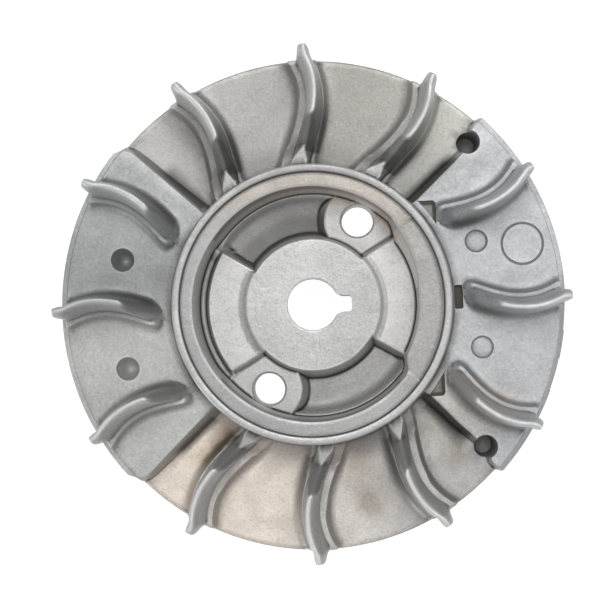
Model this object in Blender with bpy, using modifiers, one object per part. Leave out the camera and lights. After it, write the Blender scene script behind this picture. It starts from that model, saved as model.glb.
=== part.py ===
"""Fan flywheel of a small two-stroke engine, about 97 mm across the blade tips.

One die-cast aluminium rotor with a starter cup, twelve curved fan blades, a
raised sector over the magnet and a raised counterweight sector opposite it.
A ferrite magnet with a laminated U-shaped yoke and a laminated pole shoe sits
in the magnet sector, with the pole faces flush with the rim.

Frame: Z is the spin axis and points to the fan side, the back of the rim lies
at z = 0, +X runs through the keyway and the middle of the magnet.
"""

import math

import bmesh
import bpy
from mathutils import Matrix, Vector

MM = 0.001

# ---- driving dimensions, millimetres --------------------------------------
RIM_R = 48.5  # raised sectors, ground together with the pole faces
LOW_RIM_R = 47.4  # rim between the raised sectors
SECTOR_Z = 15.0  # face of the raised sectors
FLOOR_RIM_Z = 12.6  # low floor at the rim
FLOOR_HUB_Z = 9.2  # low floor at the foot of the collar
RIM_CHAMFER = 0.7
STEPS = 72  # facets round the spin axis

COLLAR_FOOT_R = 27.3
COLLAR_TOP_R = 26.6
COLLAR_TOP_Z = 21.0
LEDGE_R = 25.2
LEDGE_Z = 20.0
CUP_TOP_R = 22.5
CUP_FOOT_R = 21.9

HUB_TOP_R = 12.7
HUB_SLOPE_R = 13.8  # foot of the gentle slope round the hub disc
HUB_FOOT_R = 14.4
SHELF_R = 20.2  # inner edge of the thick cup wall beside the magnet
SHELF_Z = 19.9
HUB_Z = 11.6
SIDE_PAD_Z = 11.0
PAWL_PAD_Z = 10.0
POCKET_Z = 7.5

BORE_FRONT_R = 4.95
BORE_BACK_R = 5.65
KEY_W = 3.2
KEY_R = 7.55
PAWL_HOLE_R = 3.1
PAWL_HOLE_PCR = 18.55
PAWL_HOLE_ANGLE = 59.4

MAGNET_EDGE = 42.2  # half angle of the raised magnet sector at its face
WEIGHT_EDGE = 43.4  # half angle of the counterweight sector at its face
MAGNET_FLARE = 2.4  # extra degrees of the magnet sector beyond FLARE_R1
WEIGHT_FLARE = 0.9
FLARE_R0 = 43.6
FLARE_R1 = 45.4
STEP_LEAN = 0.26  # sideways lean of the sector step per mm of depth

BLADES = 12
BLADE_TOP_Z = 26.5
BLADE_CREST_W = 0.8  # half width of the crest
BLADE_DRAFT = 0.115
BLADE_END_R = 48.55  # at the crest
BLADE_END_DRAFT = 0.09
BLADE_CREST_END_R = 35.25
NOSE_R = 29.4  # foot of the nose on a raised sector
ROOT_R = 30.8  # where the ramp meets the root land on a low sector
RAISED_BLADES = (0, 1, 5, 6, 7, 11)

BAR_X0 = 21.6
BAR_X1 = 24.6
YOKE_HALF = 18.4
LEG_W = 5.2
POLE_HALF = 7.0
MAGNET_X0 = 24.9
MAGNET_X1 = 33.6
POLE_X0 = 33.9
POLE_FACE_R = 48.4
LAM_T = 0.8
LAM_PITCH = 1.1
LAMS = 10
STACK_Z = 3.4
GAP = 0.3
RIVET_R = 1.25

BOSS_R = 12.6
BACK_Z = 3.4  # roof of the groove round the boss


# ---- helpers ---------------------------------------------------------------
def clear():
    for obj in list(bpy.data.objects):
        bpy.data.objects.remove(obj, do_unlink=True)
    for coll in list(bpy.data.collections):
        bpy.data.collections.remove(coll)


def collection(name, hidden=False):
    coll = bpy.data.collections.new(name)
    bpy.context.scene.collection.children.link(coll)
    coll.hide_render = hidden
    return coll


def material(name, color, metallic, roughness):
    mat = bpy.data.materials.new(name)
    mat.use_nodes = True
    shader = mat.node_tree.nodes["Principled BSDF"]
    shader.inputs["Base Color"].default_value = (*color, 1.0)
    shader.inputs["Metallic"].default_value = metallic
    shader.inputs["Roughness"].default_value = roughness
    mat.diffuse_color = (*color, 1.0)
    return mat


def place(name, mesh, coll, mat=None):
    obj = bpy.data.objects.new(name, mesh)
    coll.objects.link(obj)
    if mat:
        mesh.materials.append(mat)
    if coll.hide_render:
        obj.hide_render = True
        obj.display_type = "WIRE"
    return obj


def finish(bm, name, coll, mat=None):
    bmesh.ops.remove_doubles(bm, verts=bm.verts, dist=1e-6)
    bmesh.ops.recalc_face_normals(bm, faces=bm.faces)
    mesh = bpy.data.meshes.new(name)
    bm.to_mesh(mesh)
    bm.free()
    return place(name, mesh, coll, mat)


def polar(r, deg, z=0.0):
    a = math.radians(deg)
    return Vector((r * math.cos(a), r * math.sin(a), z))


def prism(name, outline, z0, z1, coll, mat=None):
    """The outline, points in mm, pushed up from z0 to z1."""
    bm = bmesh.new()
    verts = [bm.verts.new((x * MM, y * MM, z0 * MM)) for x, y in outline]
    face = bm.faces.new(verts)
    grown = bmesh.ops.extrude_face_region(bm, geom=[face])
    top = [v for v in grown["geom"] if isinstance(v, bmesh.types.BMVert)]
    bmesh.ops.translate(bm, verts=top, vec=(0, 0, (z1 - z0) * MM))
    return finish(bm, name, coll, mat)


def cone(name, x, y, r0, r1, z0, z1, coll, mat=None, segments=40):
    """A cylinder, or a cone when r0 and r1 differ, standing on z0."""
    bm = bmesh.new()
    bmesh.ops.create_cone(
        bm,
        cap_ends=True,
        segments=segments,
        radius1=r0 * MM,
        radius2=r1 * MM,
        depth=(z1 - z0) * MM,
        matrix=Matrix.Translation((x * MM, y * MM, (z0 + z1) / 2 * MM)),
    )
    return finish(bm, name, coll, mat)


def spun(name, profile, a0, a1, coll, mat=None, steps=None, lean=None):
    """The closed (r, z) profile swept about Z from a0 to a1 degrees.

    lean(r, z) gives the degrees by which each end wall leans outward there.
    """
    bm = bmesh.new()
    verts = [bm.verts.new(polar(r, a0, z) * MM) for r, z in profile]
    face = bm.faces.new(verts)
    count = steps or max(2, round((a1 - a0) / 5))
    bmesh.ops.spin(
        bm,
        geom=[face, *face.edges, *face.verts],
        cent=(0, 0, 0),
        axis=(0, 0, 1),
        angle=math.radians(a1 - a0),
        steps=count,
        use_duplicate=False,
    )
    bmesh.ops.remove_doubles(bm, verts=bm.verts, dist=1e-6)
    if lean:
        for v in bm.verts:
            r = math.hypot(v.co.x, v.co.y) / MM
            at = (math.degrees(math.atan2(v.co.y, v.co.x)) - a0) % 360
            turn = 0.0
            if at < 1e-2 or at > 360 - 1e-2:
                turn = -lean(r, v.co.z / MM)[0]
            elif abs(at - (a1 - a0)) < 1e-2:
                turn = lean(r, v.co.z / MM)[1]
            v.co = Matrix.Rotation(math.radians(turn), 3, "Z") @ v.co
    return finish(bm, name, coll, mat)


def revolved(name, profile, coll, mat=None):
    """A closed (r, z) profile turned once about Z by the Screw modifier."""
    mesh = bpy.data.meshes.new(name)
    points = [(r * MM, 0, z * MM) for r, z in profile]
    edges = [(i, (i + 1) % len(points)) for i in range(len(points))]
    mesh.from_pydata(points, edges, [])
    obj = place(name, mesh, coll, mat)
    screw = obj.modifiers.new("turn", "SCREW")
    screw.axis = "Z"
    screw.angle = math.tau
    screw.steps = STEPS
    screw.render_steps = STEPS
    screw.use_merge_vertices = True
    screw.merge_threshold = 1e-6
    screw.use_smooth_shade = False
    return obj


def boolean(obj, label, operation, other):
    mod = obj.modifiers.new(label, "BOOLEAN")
    mod.operation = operation
    mod.solver = "EXACT"
    if isinstance(other, bpy.types.Collection):
        mod.operand_type = "COLLECTION"
        mod.collection = other
    else:
        mod.object = other
    return mod


def arc(cx, cy, r, a0, a1, n):
    """n + 1 points of an arc in the XY plane."""
    out = []
    for i in range(n + 1):
        a = math.radians(a0 + (a1 - a0) * i / n)
        out.append((cx + r * math.cos(a), cy + r * math.sin(a)))
    return out


# ---- shape laws --------------------------------------------------------------
def floor_z(r):
    """Height of the low floor, which falls from the rim to the collar."""
    t = (r - COLLAR_FOOT_R) / (LOW_RIM_R - COLLAR_FOOT_R)
    return FLOOR_HUB_Z + (FLOOR_RIM_Z - FLOOR_HUB_Z) * t


SWEEP = (
    (26.0, 3.7),
    (27.0, 3.0),
    (28.5, 1.9),
    (30.0, 0.7),
    (31.5, -0.4),
    (34.0, -2.0),
    (36.5, -2.95),
    (39.0, -3.35),
    (41.5, -3.2),
    (44.0, -2.5),
    (46.5, -1.2),
    (48.6, 0.1),
)


def sweep(r):
    """Angle of the blade's middle line at radius r, counted from its tip ray."""
    for (r0, a0), (r1, a1) in zip(SWEEP, SWEEP[1:]):
        if r <= r1:
            return a0 + (a1 - a0) * (r - r0) / (r1 - r0)
    return SWEEP[-1][1]


def crest_z(r, raised):
    foot = NOSE_R if raised else ROOT_R
    if r >= BLADE_CREST_END_R:
        return BLADE_TOP_Z
    t = max(0.0, (r - foot) / (BLADE_CREST_END_R - foot))
    return SECTOR_Z + (BLADE_TOP_Z - SECTOR_Z) * t


def blade(name, index, coll):
    """One fan blade: a drafted wall lofted along its curved middle line."""
    raised = index in RAISED_BLADES
    radii = [30.4, 31.8, 33.4, BLADE_CREST_END_R, 37, 39, 41, 43, 45, 46.8]
    radii = ([NOSE_R] if raised else [26.2, 27.8, 29.4, ROOT_R]) + [
        r for r in radii if raised or r > ROOT_R
    ]
    bm = bmesh.new()
    rings = []
    for r in [*radii, None]:
        tip = r is None
        rr = BLADE_END_R if tip else r
        zt = crest_z(rr, raised)
        zb = SECTOR_Z - 0.8 if raised else floor_z(min(rr, LOW_RIM_R)) - 1.2
        half = BLADE_CREST_W + (BLADE_TOP_Z - zt) * BLADE_DRAFT
        if raised and rr <= NOSE_R:
            half *= 0.55
            zt = SECTOR_Z - 0.05
        elif not raised and rr < ROOT_R:
            half = 1.8
        base = half + (zt - zb) * BLADE_DRAFT
        soft = min(0.4, half * 0.5)
        ring = []
        for w, z in (
            (-base, zb),
            (-half, zt - soft),
            (-half + soft, zt),
            (half - soft, zt),
            (half, zt - soft),
            (base, zb),
        ):
            rad = BLADE_END_R - (BLADE_TOP_Z - z) * BLADE_END_DRAFT if tip else rr
            mid = polar(rad, 30 * index + sweep(rad))
            step = polar(rad + 0.05, 30 * index + sweep(rad + 0.05)) - mid
            side = Vector((-step.y, step.x, 0)).normalized()
            p = mid + side * w
            if tip:
                p *= rad / p.length
            ring.append(bm.verts.new((p.x * MM, p.y * MM, z * MM)))
        rings.append(ring)
    count = len(rings[0])
    for a, b in zip(rings, rings[1:]):
        for i in range(count):
            j = (i + 1) % count
            bm.faces.new((a[i], a[j], b[j], b[i]))
    bm.faces.new(rings[0])
    bm.faces.new(rings[-1])
    bmesh.ops.triangulate(bm, faces=bm.faces)
    return finish(bm, name, coll)


def pole_pocket(coll):
    """Room for the magnet, the yoke and the pole shoe, open at the rim."""
    z0, z1 = STACK_Z - GAP, STACK_Z + (LAMS - 1) * LAM_PITCH + LAM_T + GAP
    x0, x1 = BAR_X0 - GAP, BAR_X1 + GAP
    y1, y0 = YOKE_HALF + GAP, YOKE_HALF - LEG_W - GAP
    out = RIM_R + 3
    m = POLE_HALF + GAP
    outline = [
        (x0, -y1 + 0.6),
        (x0 + 0.6, -y1),
        (out, -y1),
        (out, -y0),
        (x1 + 1.1, -y0),
        (x1, -y0 + 1.1),
        (x1, -m),
        (out, -m),
        (out, m),
        (x1, m),
        (x1, y0 - 1.1),
        (x1 + 1.1, y0),
        (out, y0),
        (out, y1),
        (x0 + 0.6, y1),
        (x0, y1 - 0.6),
    ]
    return prism("pole_pocket", outline, z0, z1, coll)


# ---- rotor casting -----------------------------------------------------------
def rotor(coll, cutters, adders, mat):
    c = RIM_CHAMFER
    body = revolved(
        "rotor_casting",
        [
            (COLLAR_TOP_R - 0.3, COLLAR_TOP_Z),
            (COLLAR_TOP_R, COLLAR_TOP_Z - 0.3),
            (COLLAR_FOOT_R - 0.05, SECTOR_Z + 0.7),
            (COLLAR_FOOT_R + 0.6, SECTOR_Z),
            (RIM_R - c, SECTOR_Z),
            (RIM_R, SECTOR_Z - c),
            (RIM_R, 0.6),
            (RIM_R - 0.6, 0),
            (BOSS_R - 0.4 + 9.4, 0),
            (BOSS_R + 8.6, BACK_Z),
            (BOSS_R + 0.4, BACK_Z),
            (BOSS_R - 0.2, 0.5),
            (BORE_BACK_R + 0.3, 0.5),
            (BORE_BACK_R, 0.8),
            (BORE_FRONT_R, HUB_Z - 0.25),
            (BORE_FRONT_R + 0.25, HUB_Z),
            (HUB_TOP_R, HUB_Z),
            (HUB_SLOPE_R, SIDE_PAD_Z - 0.05),
            (HUB_FOOT_R, POCKET_Z + 0.6),
            (HUB_FOOT_R + 0.8, POCKET_Z),
            (CUP_FOOT_R - 2.8, POCKET_Z),
            (CUP_FOOT_R - 1.3, POCKET_Z + 0.7),
            (CUP_FOOT_R - 0.5, POCKET_Z + 2.2),
            (CUP_FOOT_R - 0.1, POCKET_Z + 2.4),
            (CUP_TOP_R, LEDGE_Z - 0.25),
            (CUP_TOP_R + 0.25, LEDGE_Z),
            (LEDGE_R, LEDGE_Z),
            (LEDGE_R + 0.15, COLLAR_TOP_Z),
        ],
        coll,
        mat,
    )

    # Low floors on both sides, with leaning end walls.
    # Near the rim both raised sectors reach a little further round.
    def lean(r, z):
        turn = math.degrees(STEP_LEAN * (z - floor_z(r)) / r)
        past = min(1.0, max(0.0, (r - FLARE_R0) / (FLARE_R1 - FLARE_R0)))
        magnet_end = turn - MAGNET_FLARE * past
        weight_end = turn + WEIGHT_FLARE * past
        return (magnet_end, weight_end) if upper else (weight_end, magnet_end)

    def foot(edge):
        return edge + math.degrees(STEP_LEAN * (SECTOR_Z - FLOOR_HUB_Z) / 30)

    top = SECTOR_Z + 0.5
    for label, mirror in (("a", 1), ("b", -1)):
        a0, a1 = foot(MAGNET_EDGE), 180 - foot(WEIGHT_EDGE)
        if mirror < 0:
            a0, a1 = 360 - a1, 360 - a0
        upper = mirror > 0
        floor = spun(
            "floor_cut_" + label,
            [
                (COLLAR_FOOT_R - 0.02, top),
                (COLLAR_FOOT_R + 0.3, FLOOR_HUB_Z + 0.4),
                (COLLAR_FOOT_R + 0.9, floor_z(COLLAR_FOOT_R + 0.9)),
                (FLARE_R0, floor_z(FLARE_R0)),
                (FLARE_R1, floor_z(FLARE_R1)),
                (LOW_RIM_R - 0.5, floor_z(LOW_RIM_R - 0.5)),
                (LOW_RIM_R + 0.1, FLOOR_RIM_Z - 0.7),
                (RIM_R + 2, FLOOR_RIM_Z - 0.7),
                (RIM_R + 2, top),
                (FLARE_R1, top),
                (FLARE_R0, top),
            ],
            a0,
            a1,
            cutters,
            steps=18,
            lean=lean,
        )
        boolean(body, "low floor " + label, "DIFFERENCE", floor)
        rim = spun(
            "rim_cut_" + label,
            [
                (LOW_RIM_R, FLOOR_RIM_Z + 0.5),
                (LOW_RIM_R, -1),
                (RIM_R + 2, -1),
                (RIM_R + 2, FLOOR_RIM_Z + 0.5),
            ],
            a0 + (MAGNET_FLARE if upper else -WEIGHT_FLARE),
            a1 + (WEIGHT_FLARE if upper else -MAGNET_FLARE),
            cutters,
            steps=18,
        )
        boolean(body, "low rim " + label, "DIFFERENCE", rim)

        # The back is hollow under each low floor, with one rib across it.
        mid = (a0 + a1) / 2
        for half, b0, b1 in (("1", a0 + 3, mid - 2), ("2", mid + 2, a1 - 3)):
            pocket = spun(
                f"back_cut_{label}{half}",
                [
                    (26.2, -1),
                    (26.9, 5.4),
                    (28.2, 6.2),
                    (42.4, 8.7),
                    (43.4, 7.6),
                    (44.0, -1),
                ],
                b0,
                b1,
                cutters,
                steps=8,
            )
            boolean(body, f"back hollow {label}{half}", "DIFFERENCE", pocket)

    # Starter cup: side pads, pawl pads, gutter and the thick wall by the yoke.
    low = POCKET_Z - 1.5
    spun(
        "side_pad_left",
        [(12.8, low), (20.5, low), (20.3, SIDE_PAD_Z), (12.8, SIDE_PAD_Z)],
        147,
        216,
        adders,
        steps=12,
    )
    spun(
        "side_pad_right",
        [(12.9, low), (20.8, low), (20.8, SIDE_PAD_Z), (12.9, SIDE_PAD_Z)],
        -31,
        37.5,
        adders,
        steps=12,
    )
    spun(
        "gutter_floor",
        [(18.5, low), (23.6, low), (23.6, PAWL_PAD_Z), (18.5, PAWL_PAD_Z)],
        147.5,
        218,
        adders,
        steps=14,
    )
    spun(
        "thick_wall",
        [
            (SHELF_R - 0.3, low + 0.2),
            (24.4, low + 0.2),
            (24.4, SHELF_Z),
            (SHELF_R + 0.3, SHELF_Z),
            (SHELF_R, SHELF_Z - 0.3),
        ],
        -31.5,
        36.5,
        adders,
        steps=14,
        lean=lambda r, z: (1.6 * (r - SHELF_R), 1.8 * (r - SHELF_R)),
    )
    for label, turn in (("a", 0.0), ("b", 180.0)):
        hole = polar(PAWL_HOLE_PCR, PAWL_HOLE_ANGLE)
        rim_hits = []
        for i in range(13):
            a = math.radians(150 - i * 18.5)
            rim_hits.append((hole.x + 6.5 * math.cos(a), hole.y + 6.5 * math.sin(a)))
        side = [
            p
            for p in rim_hits
            if math.degrees(math.atan2(p[1], p[0])) > PAWL_HOLE_ANGLE
            and 13.4 < math.hypot(*p) < 22.6
        ]
        side.sort(key=lambda p: math.hypot(*p))
        outline = [
            *arc(0, 0, 12.7, 82, 40.5, 8),
            tuple(polar(13.1, 40.2))[:2],
            tuple(polar(20.4, 36.6))[:2],
            tuple(polar(22.9, 42.3))[:2],
            *arc(0, 0, 23.4, 46, 78, 6),
            *reversed(side),
        ]
        pad = prism(
            "pawl_pad_" + label, outline, low + 0.1, PAWL_PAD_Z + 0.02, adders
        )
        pad.data.transform(Matrix.Rotation(math.radians(turn), 4, "Z"))
    boolean(body, "cup pads", "UNION", adders)

    blades = collection("blade_adders", hidden=True)
    for k in range(BLADES):
        blade(f"blade_{k}", k, blades)
    boolean(body, "fan blades", "UNION", blades)

    # Holes, keyway, sockets, and the room for the magnet system.
    key = prism(
        "key_cut",
        [
            (0, -KEY_W / 2),
            (KEY_R - 0.4, -KEY_W / 2),
            (KEY_R, -KEY_W / 2 + 0.4),
            (KEY_R, KEY_W / 2 - 0.4),
            (KEY_R - 0.4, KEY_W / 2),
            (0, KEY_W / 2),
        ],
        -1,
        HUB_Z + 2,
        cutters,
    )
    boolean(body, "keyway", "DIFFERENCE", key)
    for label, turn in (("a", 0.0), ("b", 180.0)):
        hole = polar(PAWL_HOLE_PCR, PAWL_HOLE_ANGLE + turn)
        drill = cone(
            "pawl_hole_" + label,
            hole.x,
            hole.y,
            PAWL_HOLE_R,
            PAWL_HOLE_R,
            -1,
            PAWL_PAD_Z + 3,
            cutters,
        )
        boolean(body, "pawl hole " + label, "DIFFERENCE", drill)
    for label, mirror in (("a", 1), ("b", -1)):
        at = polar(43.1, 42.7 * mirror)
        socket = cone(
            "socket_" + label, at.x, at.y, 1.95, 2.3, 5.0, 16.0, cutters, segments=24
        )
        boolean(body, "socket " + label, "DIFFERENCE", socket)
        at = polar(37.7, 180 - 16.2 * mirror)
        dimple = cone(
            "dimple_" + label, at.x, at.y, 1.2, 2.2, 9.4, 15.4, cutters, segments=24
        )
        boolean(body, "dimple " + label, "DIFFERENCE", dimple)
    boolean(body, "pole pocket", "DIFFERENCE", pole_pocket(cutters))
    window = prism(
        "window_cut",
        [(27.25, -2.3), (28.9, -2.3), (28.9, 2.3), (27.25, 2.3)],
        12.0,
        SECTOR_Z + 0.4,
        cutters,
    )
    boolean(body, "window", "DIFFERENCE", window)
    for label, mirror in (("a", 1), ("b", -1)):
        x1, y1 = BAR_X1 + 0.2, YOKE_HALF + 0.2
        r = COLLAR_FOOT_R + 0.8
        low_a = math.degrees(math.acos(x1 / r))
        high_a = math.degrees(math.asin(y1 / r))
        outline = [(x, y * mirror) for x, y in arc(0, 0, r, low_a, high_a, 4)]
        outline.append((x1, y1 * mirror))
        corner = prism("corner_cut_" + label, outline, 13.6, SECTOR_Z + 0.4, cutters)
        boolean(body, "corner " + label, "DIFFERENCE", corner)
    return body


# ---- magnet system -----------------------------------------------------------
def magnet_system(coll, cutters, iron, ferrite, rivet_mat):
    z1 = STACK_Z + (LAMS - 1) * LAM_PITCH + LAM_T
    prism(
        "magnet",
        [
            (MAGNET_X0, -POLE_HALF),
            (MAGNET_X1, -POLE_HALF),
            (MAGNET_X1, POLE_HALF),
            (MAGNET_X0, POLE_HALF),
        ],
        STACK_Z,
        z1,
        coll,
        ferrite,
    )
    inner = YOKE_HALF - LEG_W
    face = math.degrees(math.asin(YOKE_HALF / POLE_FACE_R))
    root = math.degrees(math.asin(inner / POLE_FACE_R))
    yoke = [
        *arc(0, 0, POLE_FACE_R, -face, -root, 3),
        (BAR_X1 + 0.8, -inner),
        (BAR_X1, -inner + 0.8),
        (BAR_X1, inner - 0.8),
        (BAR_X1 + 0.8, inner),
        *arc(0, 0, POLE_FACE_R, root, face, 3),
        (BAR_X0 + 0.6, YOKE_HALF),
        (BAR_X0, YOKE_HALF - 0.6),
        (BAR_X0, -YOKE_HALF + 0.6),
        (BAR_X0 + 0.6, -YOKE_HALF),
    ]
    side = math.degrees(math.asin(POLE_HALF / POLE_FACE_R))
    pole = [
        (POLE_X0, -POLE_HALF),
        *arc(0, 0, POLE_FACE_R, -side, side, 4),
        (POLE_X0, POLE_HALF),
    ]
    yoke_rivets = [(34.0, 15.8), (34.0, -15.8)]
    pole_rivets = [(40.5, 4.0), (40.5, -4.0)]
    drills = {}
    for kind, spots in (("yoke", yoke_rivets), ("pole", pole_rivets)):
        drills[kind] = [
            cone(
                f"{kind}_drill_{i + 1}",
                x,
                y,
                RIVET_R + GAP,
                RIVET_R + GAP,
                0,
                18,
                cutters,
                segments=16,
            )
            for i, (x, y) in enumerate(spots)
        ]
    for i in range(LAMS):
        z = STACK_Z + i * LAM_PITCH
        for kind, outline in (("yoke", yoke), ("pole", pole)):
            lam = prism(f"{kind}_lam_{i + 1}", outline, z, z + LAM_T, coll, iron)
            for drill in drills[kind]:
                boolean(lam, drill.name, "DIFFERENCE", drill)
    for kind, spots in (("yoke", yoke_rivets), ("pole", pole_rivets)):
        for i, (x, y) in enumerate(spots):
            cone(
                f"{kind}_rivet_{i + 1}",
                x,
                y,
                RIVET_R,
                RIVET_R,
                STACK_Z,
                z1,
                coll,
                rivet_mat,
                segments=16,
            )


def main():
    clear()
    scene = bpy.context.scene
    scene.unit_settings.system = "METRIC"
    scene.unit_settings.scale_length = 1.0
    coll = collection("fan_flywheel")
    cutters = collection("cutters", hidden=True)
    adders = collection("cup_adders", hidden=True)
    cast = material("cast_aluminium", (0.66, 0.66, 0.65), 1.0, 0.42)
    iron = material("lamination_steel", (0.36, 0.34, 0.32), 1.0, 0.5)
    ferrite = material("ferrite", (0.09, 0.085, 0.08), 0.0, 0.6)
    rivet = material("rivet_steel", (0.55, 0.55, 0.55), 1.0, 0.35)
    rotor(coll, cutters, adders, cast)
    magnet_system(coll, cutters, iron, ferrite, rivet)


main()
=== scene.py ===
"""Looks of the small-engine fan flywheel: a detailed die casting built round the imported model,
with procedural materials for cast aluminium, sheet steel and ferrite, in soft studio light."""

import math

import bmesh
import bpy
import numpy as np
from mathutils import Matrix, Vector


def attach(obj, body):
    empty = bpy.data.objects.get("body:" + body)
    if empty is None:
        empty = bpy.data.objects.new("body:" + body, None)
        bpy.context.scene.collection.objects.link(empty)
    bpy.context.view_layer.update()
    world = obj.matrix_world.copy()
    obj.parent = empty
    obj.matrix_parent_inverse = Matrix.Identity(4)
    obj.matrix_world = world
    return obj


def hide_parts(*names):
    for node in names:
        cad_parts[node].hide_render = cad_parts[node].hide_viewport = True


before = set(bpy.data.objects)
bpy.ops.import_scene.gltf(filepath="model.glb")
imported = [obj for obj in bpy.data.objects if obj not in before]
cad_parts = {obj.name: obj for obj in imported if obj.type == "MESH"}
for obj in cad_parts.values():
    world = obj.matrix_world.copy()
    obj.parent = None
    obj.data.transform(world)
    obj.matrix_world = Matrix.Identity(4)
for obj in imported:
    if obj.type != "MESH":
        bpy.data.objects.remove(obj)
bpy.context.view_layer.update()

MM = 0.001
RIM_R, LOW_RIM_R = 48.5, 47.4
SECTOR_Z, FLOOR_RIM_Z, FLOOR_HUB_Z = 15.0, 12.6, 9.2
FOOT_R = 27.3
COLLAR_Z, LEDGE_Z = 21.0, 20.0
HUB_Z, SIDE_Z, PAWL_Z, POCKET_Z = 11.6, 11.0, 10.02, 7.5
TOP_Z = 26.5
MAGNET_EDGE, WEIGHT_EDGE = 42.3, 43.4
LEAN = 0.25  # sideways lean of a sector step per mm of depth
CORNER_R = 3.5  # rounding of the counterweight sector's outer corners
HOLE_R, HOLE_PCR, HOLE_A = 3.1, 18.55, 59.4
BORE_FRONT, BORE_BACK = 4.95, 5.65
RAISED = (0, 1, 5, 6, 7, 11)


# ---- small numeric helpers ---------------------------------------------------
def smin(a, b, k):
    h = np.clip(0.5 + 0.5 * (b - a) / k, 0, 1)
    return b * (1 - h) + a * h - k * h * (1 - h)


def smax(a, b, k):
    return -smin(-a, -b, k)


def step(e0, e1, x):
    t = np.clip((x - e0) / (e1 - e0), 0, 1)
    return t * t * (3 - 2 * t)


SWEEP_R = np.array(
    [26.0, 27.0, 28.5, 30.0, 31.5, 34.0, 36.5, 39.0, 41.5, 44.0, 46.5, 48.6]
)
SWEEP_A = np.array([3.7, 3.0, 1.9, 0.7, -0.4, -2.0, -2.95, -3.35, -3.2, -2.5, -1.2, 0.1])
_fit = np.polynomial.Polynomial.fit(SWEEP_R, SWEEP_A, 6)
_dfit = _fit.deriv()


def sweep(r):
    return _fit(np.clip(r, 26.0, 48.6))


def stretch(r):
    """Tangential length per length across the blade at radius r."""
    slope = np.radians(_dfit(np.clip(r, 26.0, 48.6))) * r
    return np.sqrt(1 + slope * slope)


def wrap(a):
    return (a + 180.0) % 360.0 - 180.0


# ---- heights -------------------------------------------------------------------
def low_floor(r):
    return FLOOR_HUB_Z + (FLOOR_RIM_Z - FLOOR_HUB_Z) * (r - FOOT_R) / (
        LOW_RIM_R - FOOT_R
    )


def magnet_edge(r, upper):
    """Half angle of the magnet sector's face; it flares at the rim."""
    out = step(43.4, 45.8, r)
    inner = 1 - step(27.5, 38.0, r)
    return np.where(
        upper, MAGNET_EDGE + 2.6 * out, MAGNET_EDGE - 1.4 * inner + 1.9 * out
    )


def weight_edge(r):
    """Half angle of the counterweight sector's face, with its rounded corner."""
    v = np.clip(r - (RIM_R - CORNER_R), 0, CORNER_R - 0.3)
    retreat = CORNER_R - np.sqrt(CORNER_R**2 - v * v)
    return WEIGHT_EDGE - np.degrees(retreat / r)


def lowness(r, th):
    """Distance in mm past the nearer sector edge, positive over a low floor."""
    t = wrap(th)
    from_magnet = np.radians(np.abs(t) - magnet_edge(r, t > 0)) * r
    from_weight = np.radians((180 - weight_edge(r)) - np.abs(t)) * r
    return np.minimum(from_magnet, from_weight)


def deck(r, th):
    """Raised sectors and low floors, without blades."""
    d = lowness(r, th)
    wall = SECTOR_Z - np.maximum(d, -3) / LEAN
    soft = np.where(np.abs(wrap(th)) > 90, 2.6, 0.8)
    z = smin(np.full_like(wall, SECTOR_Z), wall, soft)
    return smax(z, low_floor(r), 1.1)


# lean of the blade's two faces, mm per mm of height
WALL_CCW, WALL_CW = 0.155, 0.09


def half_width(w, z):
    """Half thickness of a blade at height z on the side that w is on."""
    return 0.8 + (TOP_Z - z) * np.where(w > 0, WALL_CCW, WALL_CW)


def blade_height(r, w, raised, tip=0.0):
    """Height of a blade at radius r and distance w across its middle line."""
    a = np.abs(w)
    # the crest narrows towards the tip
    top = 0.8 - 0.18 * np.clip((np.maximum(r, tip) - 44.5) / 3.9, 0, 1) ** 1.5
    wall = TOP_Z - (a - top) / np.where(w > 0, WALL_CCW, WALL_CW)
    bevel = w + top - 0.8
    bevel = 0.5 * (bevel + np.sqrt(bevel * bevel + 0.01))
    crest = TOP_Z - 0.02 - 0.3 * (a / (top + 0.04)) ** 6 - 1.35 * bevel
    if raised:
        ramp = SECTOR_Z + 1.97 * (r - 29.4 - w * w / 2.2)
        return smin(smin(crest, wall, 0.6), ramp, 1.2)
    roof = SECTOR_Z + 2.58 * (r - 30.8) - 1.7 * np.sqrt(w * w + 0.04)
    half = 1.8 * np.clip((30.8 - r) / 3.5, 0, 1.2)
    flank = 1.7 + (5.2 - 1.7) * np.clip((30.8 - r) / 3.5, 0, 1)
    over = np.sqrt(np.maximum(a - half, 0) ** 2 + 0.02) - 0.12
    land = SECTOR_Z - over * flank
    ramp = np.where(r < 30.8, land, roof)
    return smin(smin(crest, wall, 0.6), ramp, 0.8)


def foot_fillet(z, r, w, raised):
    """Height of the rounded foot of a blade above the deck z."""
    half = half_width(w, z)
    if raised:
        # the foot narrows to the nose
        inward = np.sqrt(np.clip(1 - (np.clip(31.6 - r, 0, 2.6) / 2.6) ** 2, 0, 1))
        half = half * inward
        size = 1.5 * step(28.4, 31.0, r)
    else:
        root = 1 - step(29.0, 33.5, r)
        half = half + 0.35 * root
        size = 1.9 - 1.0 * root
    x = np.clip((np.abs(w) - half + 0.11 * size) / np.maximum(size, 1e-3), 0, 1)
    return z + size * (1 - np.sqrt(1 - (1 - x) ** 2)) * (x < 1)


def hole_distance(r, th, turn):
    x, y = r * np.cos(np.radians(th)), r * np.sin(np.radians(th))
    hx = HOLE_PCR * math.cos(math.radians(HOLE_A + turn))
    hy = HOLE_PCR * math.sin(math.radians(HOLE_A + turn))
    return np.hypot(x - hx, y - hy)


LINE_R = np.array([12.0, 13.1, 20.2, 21.3, 22.9, 24.0])
LINE_A = np.array([40.6, 40.2, 36.6, 38.6, 42.6, 43.0])


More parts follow.
